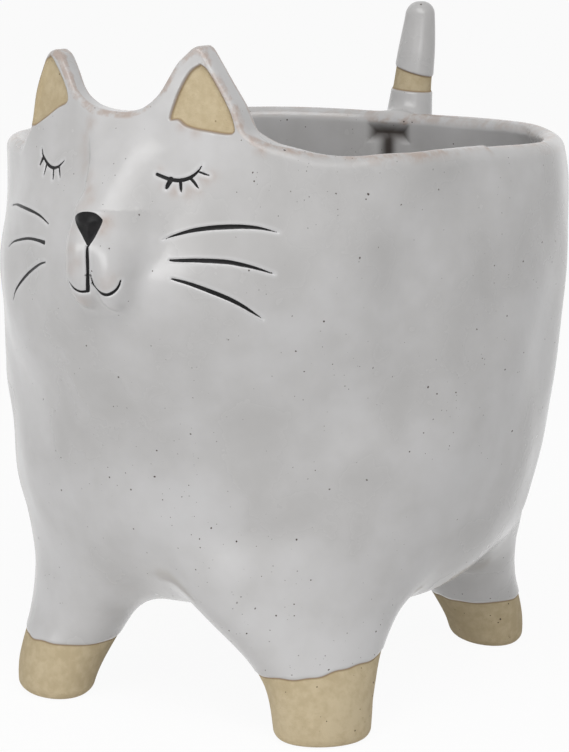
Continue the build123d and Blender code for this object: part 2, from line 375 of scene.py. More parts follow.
def bridge_distance(places):
    """The flat wedge that runs from between the ears down to the nose."""
    across, along, high = places.T
    lean = np.interp(high, *BRIDGE_FRONT)
    crisp_edge = np.interp(high, *BRIDGE_CRISP_EDGE)
    soft_edge = np.interp(high, *BRIDGE_SOFT_EDGE)
    # Each slanting side is scaled back to a true distance
    front = (-along - lean) * 0.84
    crisp_side = (-across - crisp_edge - 0.4 * (along + lean)) * 0.92
    soft_side = (across - soft_edge - 0.95 * (along + lean)) * 0.72
    wedge = rounded_edge(rounded_edge(front, crisp_side, 2.2), soft_side, 5.5)
    return rounded_edge(wedge, BRIDGE_FOOT - high, 7.0)


def pads_distance(places):
    """Two egg shaped pads that make the muzzle."""
    width, depth, height = PAD_SIZE
    x = (np.hypot(places[:, 0], PADS_CREASE) - PADS_APART) / width
    y, z = (places[:, 1] + PAD_BACK) / depth, (places[:, 2] - PAD_HEIGHT) / height
    near = np.sqrt(x * x + y * y + z * z)
    steep = np.sqrt((x / width) ** 2 + (y / depth) ** 2 + (z / height) ** 2)
    return near * (near - 1) / np.maximum(steep, 1e-6)


def beside_leg(places, leg):
    """How far places lie across a leg, and how far out the way it is splayed."""
    turn = math.radians(LEGS[leg][0])
    across = places[:, 0] * math.cos(turn) + places[:, 1] * math.sin(turn)
    along = places[:, 0] * math.sin(turn) - places[:, 1] * math.cos(turn)
    return across, along


def leg_distance(places, leg):
    across, along = beside_leg(places, leg)
    high = places[:, 2]
    lean_low, lean_high, widening = LEGS[leg][3:]
    reach, half_width, half_depth = leg_taper.at(high)
    aside = lean_low + (lean_high - lean_low) * smooth_step(high, 12.0, 34.0)
    half_width = half_width + widening * smooth_step(high, 8.0, 32.0)
    column = oval(across - aside, along - reach, half_width, half_depth)
    return np.maximum(rounded_edge(column, -high - GLAZE_THICKNESS, 3.2), high - LEG_SECTIONS[-1][0])


def tail_distance(places):
    across, along, high = places.T
    reach, radius = tail_taper.at(high)
    column = np.hypot(across - TAIL_ACROSS, along - reach) - radius
    return np.maximum(rounded_edge(column, high - TAIL_TOP, 3.6), 94.0 - high)


def bulge(places, out, height, tall, aside, wide):
    """How far the wall swells here, out of one soft hump."""
    side = places @ np.array(PICTURE_ASIDE)
    return out * np.exp(-((places[:, 2] - height) / tall) ** 2 - ((side - aside) / wide) ** 2)


def bowl_distance(places):
    """Tub and head run together, without legs, tail or face."""
    dents = BROAD_DENTS * unevenness(places, broad_waves) + THUMB_DENTS * unevenness(places, thumb_waves)
    swell = sum(bulge(places, *hump) for hump in SWELLS)
    joined = soft_join(tub_distance(places), head_distance(places), HEAD_JOIN)
    return joined - dents - swell + bulge(places, *SHOULDER)


def outline_distance(outline, places):
    """Signed distance to a closed outline seen from the front, below zero inside."""
    x, y = places[:, 0], places[:, 2]
    best = np.full(len(x), 1e9)
    inside = np.zeros(len(x), dtype=bool)
    for (ax, ay), (bx, by) in zip(outline, np.roll(outline, -1, axis=0)):
        ex, ey = bx - ax, by - ay
        share = np.clip(((x - ax) * ex + (y - ay) * ey) / (ex * ex + ey * ey), 0, 1)
        best = np.minimum(best, (x - ax - share * ex) ** 2 + (y - ay - share * ey) ** 2)
        crossing = (ay > y) != (by > y)
        if ey != 0:
            inside ^= crossing & (x < ax + ex * (y - ay) / ey)
    return np.where(inside, -1.0, 1.0) * np.sqrt(best)


def smooth_run(points, step):
    """A smooth line through given points, closely stepped."""
    points = np.array(points, dtype=float)
    if len(points) == 2:
        count = max(2, int(np.linalg.norm(points[1] - points[0]) / step))
        return points[0] + (points[1] - points[0]) * np.linspace(0, 1, count)[:, None]
    ends = np.vstack([2 * points[0] - points[1], points, 2 * points[-1] - points[-2]])
    run = []
    for a, b, c, d in zip(ends[:-3], ends[1:-2], ends[2:-1], ends[3:]):
        count = max(1, int(np.ceil(np.linalg.norm(c - b) / step)))
        t = (np.arange(count) / count)[:, None]
        square, cube = 2 * a - 5 * b + 4 * c - d, 3 * b - a - 3 * c + d
        run.append(0.5 * (2 * b + (c - a) * t + square * t ** 2 + cube * t ** 3))
    run.append(points[-1:])
    return np.vstack(run)


# Camera, and where a place in the picture lies on the clay

turn = math.radians(CAMERA_TURN)
camera_place = np.array([math.sin(turn) * CAMERA_AWAY, -math.cos(turn) * CAMERA_AWAY, CAMERA_HEIGHT])
level_ahead = np.array([-math.sin(turn), math.cos(turn), 0.0])
level_right = np.array([math.cos(turn), math.sin(turn), 0.0])
upright = np.array([0.0, 0.0, 1.0])
yaw, down, roll = (math.radians(value) for value in (CAMERA_YAW, CAMERA_DOWN, CAMERA_ROLL))
ahead_level = level_ahead * math.cos(yaw) + level_right * math.sin(yaw)
right_level = np.cross(ahead_level, upright)
ahead = ahead_level * math.cos(down) - upright * math.sin(down)
over = np.cross(right_level, ahead)
right = right_level * math.cos(roll) + over * math.sin(roll)
over = -right_level * math.sin(roll) + over * math.cos(roll)


def seen(picture_places, form, depth=0.0):
    """Where the lines of sight through places in the picture meet a form."""
    picture = np.atleast_2d(np.array(picture_places, dtype=float))[:, :2]
    sight = (
        ahead + right * ((picture[:, :1] - PICTURE_WIDTH / 2) / CAMERA_FOCUS)
        - over * ((picture[:, 1:] - PICTURE_HEIGHT / 2) / CAMERA_FOCUS)
    )
    sight /= length_of(sight)[:, None]
    far = np.full(len(picture), SIGHT_START)
    closest = np.full(len(picture), 1e9)
    closest_far = far.copy()
    for _ in range(SIGHT_STEPS):
        gap = form(camera_place + sight * far[:, None]) + depth
        nearer = gap < closest
        closest = np.where(nearer, gap, closest)
        closest_far = np.where(nearer, far, closest_far)
        far = far + np.where(np.abs(gap) < 1e-3, 0, np.clip(gap * 0.7, -2.0, 12.0))
        far = np.minimum(far, SIGHT_END)
    met = np.abs(form(camera_place + sight * far[:, None]) + depth) < 0.05
    return camera_place + sight * np.where(met, far, closest_far)[:, None]


def front_outline(places, step=0.7):
    """A closed outline seen straight from the front, from places on the clay."""
    run = smooth_run(np.vstack([places, places[:1]]), step)[:-1]
    return run[:, [0, 2]]


edge_points = np.vstack(
    [seen([place], head_distance, place[2]) for place in EDGE_PLACES]
    + [seen([place], bowl_distance, place[2]) for place in RIM_PLACES]
)
edge_run = smooth_run(edge_points[:, [0, 2]], 0.8)
rim_left = edge_run[0, 0] - 3.0
top_outline = np.vstack([
    [(-140.0, -60.0), (-140.0, RIM_HEIGHT), (rim_left - 4.0, RIM_HEIGHT)], edge_run,
    [(75.0, RIM_HEIGHT + 0.7), (140.0, RIM_HEIGHT + 0.7), (140.0, -60.0)],
])


def top_distance(places):
    """Above the rim's edge, the dip of the crown and the ears."""
    across, along, high = places.T
    round_by = np.arctan2(across, -along)
    wave = 0.5 * np.sin(2 * round_by + 0.8) + 0.35 * np.sin(5 * round_by + 2.0)
    wave += 0.6 * np.exp(-((round_by - 1.6) / 0.7) ** 2)
    edge = high - RIM_HEIGHT - wave
    front = along < -20.0
    if front.any():
        edge[front] = outline_distance(top_outline, places[front])
    return edge


def outside_distance(places):
    """The whole outside, with the face and the legs."""
    body = bowl_distance(places)
    across, along, high = places.T
    front = (along < -60) & (np.abs(across) < 30) & (high > 100) & (high < 180)
    if front.any():
        near = places[front]
        face = soft_join(body[front], bridge_distance(near), BRIDGE_JOIN)
        body[front] = soft_join(face, pads_distance(near), PADS_JOIN)
    low = high < 66
    if low.any():
        near = places[low]
        for leg in LEGS:
            body[low] = soft_join(body[low], leg_distance(near, leg), LEG_JOIN)
    return body


def room_distance(places):
    """The space inside, down to the floor."""
    return rounded_edge(bowl_distance(places) + WALL, FLOOR_TOP - places[:, 2], FLOOR_EDGE_ROUND)


def hollow_distance(places):
    """Below zero in the T shaped hollow inside the back wall."""
    across, along, high = places.T
    bar, stem = (
        np.maximum(np.abs(across - middle) - half_width, np.abs(high - level) - half_height)
        for middle, half_width, level, half_height in HOLLOW_BARS
    )
    return np.where((along > 55) & (high < RIM_HEIGHT) & (high > 120), soft_join(bar, stem, 2.0), FAR)


def form_distance(places):
    """The clay before any line or step is cut into it."""
    high = places[:, 2]
    roll = RIM_ROLL - (RIM_ROLL - EAR_ROLL) * smooth_step(high, RIM_HEIGHT - 2, RIM_HEIGHT + 6)
    clay = rounded_edge(outside_distance(places), top_distance(places), roll)
    above = smooth_step(high, RIM_HEIGHT, RIM_HEIGHT + 6)
    roll = RIM_INNER_ROLL - (RIM_INNER_ROLL - EAR_INNER_ROLL) * above
    clay = rounded_edge(clay, -room_distance(places), roll)
    drain = DRAIN_RADIUS - np.hypot(places[:, 0], places[:, 1])
    clay = np.where(high < 60, rounded_edge(clay, drain, DRAIN_ROUND), clay)
    behind = (places[:, 1] > 50) & (high > 90)
    if behind.any():
        near = places[behind]
        hollow = HOLLOW_DEPTH * (1 - smooth_step(hollow_distance(near), -1.2, 2.6))
        clay[behind] = clay[behind] + hollow * (bowl_distance(near) < OUTER_SIDE)
        tail = np.maximum(tail_distance(near), TAIL_ROOT_SHORT - room_distance(near))
        clay[behind] = soft_join(clay[behind], tail, TAIL_JOIN)
    return clay


# Places of the drawn details on the clay

line_runs = {}
for line_name, strokes in LINES.items():
    for picture_places, widths in strokes:
        run = smooth_run(seen(picture_places, outside_distance), 0.5)
        along_run = np.linspace(0, 1, len(run))
        swelling = np.sin(along_run * math.pi).clip(0) ** 0.7
        ends = np.where(along_run < 0.5, widths[0], widths[2])
        half_widths = ends + (widths[1] - ends) * swelling
        line_runs.setdefault(line_name, []).append((run, half_widths))

inner_ears = {
    "left_inner_ear": front_outline(seen(RIGHT_SIDE_INNER_EAR, outside_distance)),
    "right_inner_ear": front_outline(seen(LEFT_SIDE_INNER_EAR, outside_distance)),
}
nose_outline = front_outline(seen(NOSE, outside_distance), 0.5)


def stroke_distance(places, strokes):
    """Distance from the edge of tapering brush strokes, below zero under the brush."""
    best = np.full(len(places), FAR)
    for run, half_widths in strokes:
        low, high = run.min(axis=0) - 5, run.max(axis=0) + 5
        near = np.all((places > low) & (places < high), axis=1)
        if not near.any():
            continue
        close = places[near]
        found = np.full(len(close), FAR)
        for start, end, wide, wide_end in zip(run[:-1], run[1:], half_widths[:-1], half_widths[1:]):
            step = end - start
            share = np.clip(((close - start) @ step) / (step @ step), 0, 1)
            gap = length_of(close - start - share[:, None] * step)
            found = np.minimum(found, gap - wide - share * (wide_end - wide))
        best[near] = np.minimum(best[near], found)
    return best


def on_face(places):
    return (places[:, 1] < -50) & (places[:, 2] > 95)


def all_lines(places):
    return only_where(
        on_face(places), places,
        lambda near: np.minimum.reduce([stroke_distance(near, strokes) for strokes in line_runs.values()]),
    )


def front_shape(places, outline):
    """Distance from an outline drawn on the front, only on the outer side of the wall."""
    def shape(near):
        flat = outline_distance(outline, near)
        return np.where(bowl_distance(near) > OUTER_SIDE, flat, np.maximum(flat, 2.0))
    return only_where(on_face(places), places, shape)


def dip_distance(places, leg):
    """How far above the glaze's edge on a leg."""
    height, slope = LEGS[leg][1:3]
    across, along = beside_leg(places, leg)
    wave = 0.25 * np.sin(across * 0.35 + height) + 0.15 * np.sin(across * 0.9 + 2 * height)
    here = places[:, 2] - height + slope * across - wave
    return np.where(along > 30, here, FAR)


def paw_distance(places):
    return only_where(
        places[:, 2] < 40, places,
        lambda near: np.minimum.reduce([dip_distance(near, leg) for leg in LEGS]),
    )


def band_distance(places):
    """Below zero inside the bare band round the tail."""
    across = places[:, 0]
    lower = BAND[0] + BAND_SLOPE[0] * across - places[:, 2]
    upper = places[:, 2] - BAND[1] - BAND_SLOPE[1] * across
    return np.where((places[:, 1] > 74) & (places[:, 2] > 150), np.maximum(lower, upper), FAR)


def skin_distance(places):
    """The finished surface, with its lines, recesses and the step of the glaze."""
    clay = form_distance(places)
    face = on_face(places)
    if face.any():
        near = places[face]
        cut = LINE_DEPTH * (1 - smooth_step(all_lines(near), -0.35, 0.3))
        outer = bowl_distance(near) > OUTER_SIDE
        for outline in inner_ears.values():
            inside = outer * (1 - smooth_step(outline_distance(outline, near), -0.5, 0.4))
            sunk = inside > 0
            if sunk.any():
                inside[sunk] *= smooth_step(-top_distance(near[sunk]), 0.8, 2.4)
            cut = cut + EAR_RECESS * inside
        raised = NOSE_PROUD * (1 - smooth_step(outline_distance(nose_outline, near), -3.4, 0.1))
        clay[face] = clay[face] + cut - raised * outer
    low = places[:, 2] < 40
    if low.any():
        bared = 1 - smooth_step(paw_distance(places[low]), -0.15, 0.75)
        clay[low] = clay[low] + GLAZE_THICKNESS * bared
    behind = (places[:, 1] > 74) & (places[:, 2] > 148)
    if behind.any():
        bared = 1 - smooth_step(band_distance(places[behind]), -0.4, 0.5)
        clay[behind] = clay[behind] + BAND_RECESS * bared
    return clay


# Skinning

def in_slices(distance, places, size=60000):
    """Works a distance out a part at a time, to keep within memory."""
    if not len(places):
        return np.zeros(0)
    return np.concatenate([distance(places[start:start + size]) for start in range(0, len(places), size)])


def first_skin(step):
    """A mesh over the clay on an even grid."""
    low, high = np.array(GRID_LOW), np.array(GRID_HIGH)
    counts = np.ceil((high - low) / step).astype(int) + 1
    axes = [low[i] + step * np.arange(counts[i]) for i in range(3)]
    grid = np.stack(np.meshgrid(*axes, indexing="ij"), axis=-1).reshape(-1, 3)
    values = in_slices(form_distance, grid).reshape(counts)
    cells = counts - 1
    sums = np.zeros((cells.prod(), 3))
    hits = np.zeros(cells.prod())
    quads = []
    for axis in range(3):
        one, two = (axis + 1) % 3, (axis + 2) % 3
        starts = np.take(values, range(counts[axis] - 1), axis=axis)
        ends = np.take(values, range(1, counts[axis]), axis=axis)
        where = np.argwhere((starts < 0) != (ends < 0))
        a, b = starts[tuple(where.T)], ends[tuple(where.T)]
        crossing = where.astype(float)
        crossing[:, axis] += a / (a - b)
        corners = []
        for step_one, step_two in ((-1, -1), (0, -1), (0, 0), (-1, 0)):
            cell = where.copy()
            cell[:, one] += step_one
            cell[:, two] += step_two
            number = np.ravel_multi_index(np.clip(cell, 0, cells - 1).T, cells)
            corners.append(number)
            for i in range(3):
                sums[:, i] += np.bincount(number, crossing[:, i], cells.prod())
            hits += np.bincount(number, minlength=cells.prod())
        quad = np.stack(corners, axis=1)
        quads.append(np.where((a < 0)[:, None], quad, quad[:, ::-1]))
    quads = np.vstack(quads)
    used = np.flatnonzero(hits)
    renumber = np.full(cells.prod(), -1)
    renumber[used] = np.arange(len(used))
    verts = low + step * sums[used] / hits[used][:, None]
    quads = renumber[quads]
    first = length_of(verts[quads[:, 0]] - verts[quads[:, 2]])
    second = length_of(verts[quads[:, 1]] - verts[quads[:, 3]])
    split = np.where(
        (first < second)[:, None], quads[:, [0, 1, 2, 0, 2, 3]], quads[:, [1, 2, 3, 1, 3, 0]]
    )
    return verts, split.reshape(-1, 3)


PROBES = np.array([(1, -1, -1), (-1, -1, 1), (-1, 1, -1), (1, 1, 1)], dtype=float)


def lean_of(distance, places, reach):
    """The way the distance grows fastest, with its rate."""
    total = np.zeros_like(places)
    for probe in PROBES:
        total += probe * in_slices(distance, places + probe * reach)[:, None]
    return total / (4 * reach)


def settle(distance, verts, rounds, reach=0.06, limit=0.8):
    """Moves points onto the surface."""
    for _ in range(rounds):
        lean = lean_of(distance, verts, reach)
        rate = np.maximum((lean ** 2).sum(axis=1), 0.15)
        gap = in_slices(distance, verts)
        move = -(gap / rate)[:, None] * lean
        size = length_of(move)
        verts = verts + move * np.minimum(1, limit / np.maximum(size, 1e-9))[:, None]
    return verts


def without_collapsed(verts, faces):
    """Points that fell on one place become one, and faces that lost their area go."""
    _, first, back = np.unique(np.round(verts, 3), axis=0, return_index=True, return_inverse=True)
    faces = back.reshape(-1)[faces]
    whole = (faces[:, 0] != faces[:, 1]) & (faces[:, 1] != faces[:, 2]) & (faces[:, 2] != faces[:, 0])
    return verts[first], faces[whole]


def edges_of(faces, count):
    """Both ends of every edge, and the edges that each face has."""
    pairs = np.sort(np.concatenate([faces[:, [0, 1]], faces[:, [1, 2]], faces[:, [2, 0]]]), axis=1)
    keys, back = np.unique(pairs[:, 0] * count + pairs[:, 1], return_inverse=True)
    return keys // count, keys % count, back.reshape(3, -1).T


def split_edges(verts, faces, chosen, new_points, edge_numbers, labels):
    """Adds points on the chosen edges and divides the faces beside them."""
    fresh = np.full(len(chosen), -1)
    fresh[chosen] = len(verts) + np.arange(chosen.sum())
    verts = np.vstack([verts, new_points])
    middle = fresh[edge_numbers]
    code = (middle >= 0) @ np.array([1, 2, 4])
    made, made_labels = [faces[code == 0]], [labels[code == 0]]

    def add(rows, *corners):
        made.append(np.stack(corners, axis=1))
        made_labels.append(labels[rows])

    for turn_by in range(3):
        i, j, k = turn_by, (turn_by + 1) % 3, (turn_by + 2) % 3
        rows = code == (1, 2, 4)[turn_by]
        a, b, c, m = faces[rows, i], faces[rows, j], faces[rows, k], middle[rows, i]
        add(rows, a, m, c)
        add(rows, m, b, c)
        rows = code == 7 - (1, 2, 4)[turn_by]
        a, b, c = faces[rows, i], faces[rows, j], faces[rows, k]
        mb, mc = middle[rows, j], middle[rows, k]
        add(rows, mc, mb, c)
        shorter = length_of(verts[a] - verts[mb]) < length_of(verts[b] - verts[mc])
        add(rows, a, b, np.where(shorter, mb, mc))
        add(rows, np.where(shorter, a, b), mb, mc)
    rows = code == 7
    a, b, c = faces[rows].T
    ab, bc, ca = middle[rows].T
    add(rows, a, ab, ca)
    add(rows, ab, b, bc)
    add(rows, ca, bc, c)
    add(rows, ab, bc, ca)
    return verts, np.vstack(made), np.concatenate(made_labels)


def wanted_length(places):
    """How long an edge may be here: short beside lines and steps, long on plain wall."""
    length = np.full(len(places), 3.2)
    face = on_face(places)
    if face.any():
        near = places[face]
        lines = np.abs(all_lines(near) + 0.02)
        fine = 0.26 + 0.5 * np.maximum(lines - 0.5, 0)
        outer = bowl_distance(near) > -2.5
        for outline in [*inner_ears.values(), nose_outline]:
            gap = np.abs(outline_distance(outline, near))
            fine = np.where(outer, np.minimum(fine, 0.42 + 0.55 * np.maximum(gap - 0.7, 0)), fine)
        length[face] = np.minimum(length[face], fine)
    low = places[:, 2] < 30
    if low.any():
        gap = np.abs(paw_distance(places[low]) - 0.2)
        length[low] = np.minimum(length[low], 0.5 + 0.6 * np.maximum(gap - 0.7, 0))
    gap = hollow_distance(places)
    length = np.where(gap < 4, np.minimum(length, 0.8 + 0.4 * np.abs(gap)), length)
    behind = (places[:, 1] > 74) & (places[:, 2] > 150)
    if behind.any():
        gap = np.abs(band_distance(places[behind]))
        length[behind] = np.minimum(length[behind], 0.45 + 0.6 * np.maximum(gap - 0.6, 0))
    return length


def refine(verts, faces, rounds):
    """Divides edges until they are short enough for what they cross."""
    labels = np.zeros(len(faces), dtype=int)
    for _ in range(rounds):
        starts, ends, numbers = edges_of(faces, len(verts))
        length = length_of(verts[starts] - verts[ends])
        middle = (verts[starts] + verts[ends]) / 2
        lean = lean_of(skin_distance, verts, PROBE_REACH)
        lean /= length_of(lean)[:, None]
        bend = np.degrees(np.arccos(np.clip((lean[starts] * lean[ends]).sum(axis=1), -1, 1)))
        chosen = (length > 1.35 * in_slices(wanted_length, middle)) | ((bend > 13) & (length > 0.75))
        if not chosen.any():
            break
        points = settle(skin_distance, middle[chosen], 2)
        verts, faces, labels = split_edges(verts, faces, chosen, points, numbers, labels)
    return verts, faces


def cut_along(verts, faces, labels, field):
    """Divides faces where a field passes zero, so that pieces part on a clean line."""
    values = in_slices(field, verts)
    values = np.where(np.abs(values) < 0.02, 0.02, values)
    starts, ends, numbers = edges_of(faces, len(verts))
    a, b = values[starts], values[ends]
    chosen = ((a < 0) != (b < 0)) & (np.abs(a) < 6) & (np.abs(b) < 6)
    share = (a / (a - b + 1e-12))[chosen][:, None]
    points = verts[starts[chosen]] * (1 - share) + verts[ends[chosen]] * share
    points = settle(skin_distance, points, 1)
    return split_edges(verts, faces, chosen, points, numbers, labels)


verts, faces = first_skin(GRID_STEP)
verts = settle(form_distance, verts, 4)
verts = settle(skin_distance, verts, 2)
verts, faces = without_collapsed(verts, faces)
verts, faces = refine(verts, faces, REFINE_ROUNDS)
verts = settle(skin_distance, verts, 2)


# Parting the skin into pieces

def off_strokes(name):
    return lambda places: np.where(on_face(places), stroke_distance(places, line_runs[name]), FAR)


def off_front_shape(outline, inset):
    return lambda places: front_shape(places, outline) + inset


def off_paw(leg):
    return lambda places: np.where(places[:, 2] < 40, dip_distance(places, leg), FAR)


def off_tail_tip(places):
    line = BAND[1] + BAND_SLOPE[1] * places[:, 0]
    return np.where((places[:, 1] > 60) & (places[:, 2] > 154), line - places[:, 2], FAR)


def off_tail_root(places):
    above_rim = np.maximum(places[:, 2] - RIM_HEIGHT, 0)
    apart = tail_distance(places) - np.maximum(bowl_distance(places), 0) - 3 * above_rim
    return np.where((places[:, 1] > 60) & (places[:, 2] > 92), apart, FAR)


def off_leg(leg):
    def apart(places):
        bowl = bowl_distance(places)
        return np.where((places[:, 2] < 64) & (bowl > OUTER_SIDE), leg_distance(places, leg) - bowl, FAR)
    return apart


def off_floor(places):
    return np.where(places[:, 2] < 44, np.hypot(places[:, 0], places[:, 1]) - FLOOR_RADIUS, FAR)


def off_muzzle(places):
    outer = bowl_distance(places)
    face = soft_join(outer, bridge_distance(places), BRIDGE_JOIN)
    return np.where(on_face(places) & (outer > -2.5), pads_distance(places) - face, FAR)


def off_ear(side):
    """Off the ear of one side, which is 1 for the left and -1 for the right."""
    inner, top = EAR_FOOT_INNER

    def apart(places):
        across = side * places[:, 0]
        line = top - (across - inner) * (top - RIM_HEIGHT) / (EAR_FOOT_OUTER - inner)
        here = np.maximum(np.maximum(line, RIM_HEIGHT - 0.5) - places[:, 2], inner - across)
        return np.where(places[:, 1] < -30, here, FAR)
    return apart


def off_head(places):
    return np.where(places[:, 1] < -10, head_distance(places) - tub_distance(places), FAR)


PARTING = [(name, off_strokes(name)) for name in LINES]
PARTING += [(name, off_front_shape(outline, 0.1)) for name, outline in inner_ears.items()]
PARTING.append(("nose", off_front_shape(nose_outline, 0.1)))
PARTING += [(f"{leg}_paw", off_paw(leg)) for leg in LEGS]
PARTING += [("tail_band", band_distance), ("tail_tip", off_tail_tip), ("tail_root", off_tail_root)]
PARTING += [(f"{leg}_leg", off_leg(leg)) for leg in LEGS]
PARTING += [
    ("pot_floor", off_floor), ("muzzle", off_muzzle), ("left_ear", off_ear(1)), ("right_ear", off_ear(-1)),
    ("head", off_head),
]

labels = np.zeros(len(faces), dtype=int)
for number, (name, field) in enumerate(PARTING, start=1):
    verts, faces, labels = cut_along(verts, faces, labels, field)
    centres = verts[faces].mean(axis=1)
    open_faces = np.flatnonzero(labels == 0)
    taken = in_slices(field, centres[open_faces]) < 0
    labels[open_faces[taken]] = number

# What the finishes need to know at each point of the skin

lean = lean_of(skin_distance, verts, PROBE_REACH)
lean /= np.maximum(length_of(lean), 1e-9)[:, None]


def bend_of(places, reach):
    """How sharply the clay turns outward."""
    total = np.zeros(len(places))
    for shift in np.eye(3) * reach:
        total += in_slices(form_distance, places + shift) + in_slices(form_distance, places - shift)
    return (total - 6 * in_slices(form_distance, places)) / reach ** 2


def stain_of(places):
    """How brown the glaze is stained."""
    stain = np.zeros(len(places))
    for (*_, reach, strength), middle in zip(STAINS, seen(STAINS, outside_distance)):
        stain = np.maximum(stain, strength * np.exp(-((places - middle) ** 2).sum(axis=1) / reach ** 2))
    return stain


near_top = 1 - smooth_step(np.abs(in_slices(top_distance, verts)), 5.0, 8.0)
bare_gaps = [np.clip(in_slices(field, verts), -FAR, FAR) for field in (paw_distance, band_distance)]
bare_gaps += [in_slices(off_front_shape(outline, 0.0), verts) for outline in inner_ears.values()]
inner_side = in_slices(bowl_distance, verts) < OUTER_SIDE
SKIN_VALUES = {
    "edge_bend": bend_of(verts, 1.5) * near_top,
    "line_gap": in_slices(all_lines, verts),
    "bare_gap": np.minimum.reduce(bare_gaps),
    "hollow_gap": np.where(inner_side, in_slices(hollow_distance, verts), FAR),
    "stain": stain_of(verts),
}


# Finishes

def new_group(name, inputs, output):
    """An empty shader node group with named sockets for values."""
    group = bpy.data.node_groups.new(name, "ShaderNodeTree")
    for socket_name, value in inputs.items():
        socket = group.interface.new_socket(socket_name, in_out="INPUT", socket_type="NodeSocketFloat")
        socket.default_value = value
    group.interface.new_socket(output, in_out="OUTPUT", socket_type="NodeSocketFloat")
    return group, group.nodes.new("NodeGroupInput"), group.nodes.new("NodeGroupOutput")


def fresh_tree(owner):
    """The emptied node tree of a material or world."""
    owner.use_nodes = True
    owner.node_tree.nodes.clear()
    return owner.node_tree


def node(tree, kind, inputs=None, **settings):
    """A node with its sockets linked or set."""
    made = tree.nodes.new(kind)
    for setting, value in settings.items():
        setattr(made, setting, value)
    for socket, value in (inputs or {}).items():
        if isinstance(value, bpy.types.NodeSocket):
            tree.links.new(value, made.inputs[socket])
        else:
            made.inputs[socket].default_value = value
    return made


def maths(tree, operation, one, two=0.0, three=None):
    inputs = {0: one, 1: two}
    if three is not None:
        inputs[2] = three
    return node(tree, "ShaderNodeMath", inputs, operation=operation).outputs[0]


def times(tree, one, two):
    return maths(tree, "MULTIPLY", one, two)


def larger(tree, one, two):
    return maths(tree, "MAXIMUM", one, two)


def blend(tree, share, one, two):
    return node(tree, "ShaderNodeMix", {0: share, 6: one, 7: two}, data_type="RGBA").outputs[2]


def noise(tree, place, scale, detail, roughness=0.5):
    inputs = {"Vector": place, "Scale": scale, "Detail": detail, "Roughness": roughness}
    return node(tree, "ShaderNodeTexNoise", inputs)


def spread(tree, value, low, high, to_low=0.0, to_high=1.0):
    inputs = {0: value, 1: low, 2: high, 3: to_low, 4: to_high}
    return node(tree, "ShaderNodeMapRange", inputs, interpolation_type="SMOOTHSTEP").outputs[0]


def speck_group():
    """Iron specks: round dots of many sizes, thick in some places and rare in others."""
    group, entry, leave = new_group("Iron specks", {"Spacing": 400.0, "Size": 0.2, "Share": 0.3}, "Mask")
    place = node(group, "ShaderNodeTexCoord").outputs["Object"]
    warp = noise(group, place, 900.0, 2.0).outputs["Color"]
    nudge = node(group, "ShaderNodeVectorMath", {0: warp, "Scale": 0.0006}, operation="SCALE").outputs[0]
    moved = node(group, "ShaderNodeVectorMath", {0: place, 1: nudge}, operation="ADD").outputs[0]
    cells = node(group, "ShaderNodeTexVoronoi", {"Vector": moved, "Scale": entry.outputs["Spacing"]})
    chance = node(group, "ShaderNodeSeparateColor", {0: cells.outputs["Color"]})
    thick = spread(group, noise(group, place, 22.0, 2.0).outputs[0], 0.38, 0.66, 0.3, 1.6)
    aside = node(group, "ShaderNodeSeparateXYZ", {0: place}).outputs[0]
    thick = times(group, thick, maths(group, "MULTIPLY_ADD", aside, 7.0, 1.0))
    wanted = times(group, entry.outputs["Share"], thick)
    kept = maths(group, "LESS_THAN", chance.outputs[0], wanted)
    big = maths(group, "POWER", chance.outputs[1], 2.2)
    size = times(group, entry.outputs["Size"], maths(group, "MULTIPLY_ADD", big, 0.75, 0.25))
    inner = times(group, size, 0.55)
    dot = spread(group, cells.outputs["Distance"], inner, size, 1.0, 0.0)
    group.links.new(times(group, dot, kept), leave.inputs[0])
    return group


def mottle_group():
    """Slow drifts of tone and finer cloudiness, as one value round a half."""
    group, entry, leave = new_group("Mottle", {"Broad": 18.0, "Fine": 160.0, "Fine share": 0.4}, "Value")
    place = node(group, "ShaderNodeTexCoord").outputs["Object"]
    broad = noise(group, place, entry.outputs["Broad"], 3.0)
    fine = noise(group, place, entry.outputs["Fine"], 3.0)
    inputs = {0: entry.outputs["Fine share"], 2: broad.outputs[0], 3: fine.outputs[0]}
    group.links.new(node(group, "ShaderNodeMix", inputs).outputs[0], leave.inputs[0])
    return group


specks = speck_group()
mottle = mottle_group()


def placed(tree, group, **values):
    """A group put into a material, with its values set."""
    made = tree.nodes.new("ShaderNodeGroup")
    made.node_tree = group
    for name, value in values.items():
        made.inputs[name.replace("_", " ")].default_value = value
    return made.outputs[0]


def measured(tree, name):
    """A value that each point of the skin carries."""
    return node(tree, "ShaderNodeAttribute", attribute_name=name).outputs["Fac"]


def new_material(name, viewport):
    material = bpy.data.materials.new(name)
    material.diffuse_color = (*viewport, 1.0)
    tree = fresh_tree(material)
    shader = tree.nodes.new("ShaderNodeBsdfPrincipled")
    leave = tree.nodes.new("ShaderNodeOutputMaterial")
    tree.links.new(shader.outputs[0], leave.inputs[0])
    return material, tree, node(tree, "ShaderNodeTexCoord").outputs["Object"]


def finish(material, colour, roughness, height, strength, distance):
    """Links a material's colour, roughness and relief to its shader."""
    tree = material.node_tree
    shader = tree.nodes["Principled BSDF"]
    bump = node(tree, "ShaderNodeBump", {"Strength": strength, "Distance": distance, "Height": height})
    for socket, value in (("Base Color", colour), ("Roughness", roughness), ("Normal", bump.outputs[0])):
        tree.links.new(value, shader.inputs[socket])
    return shader


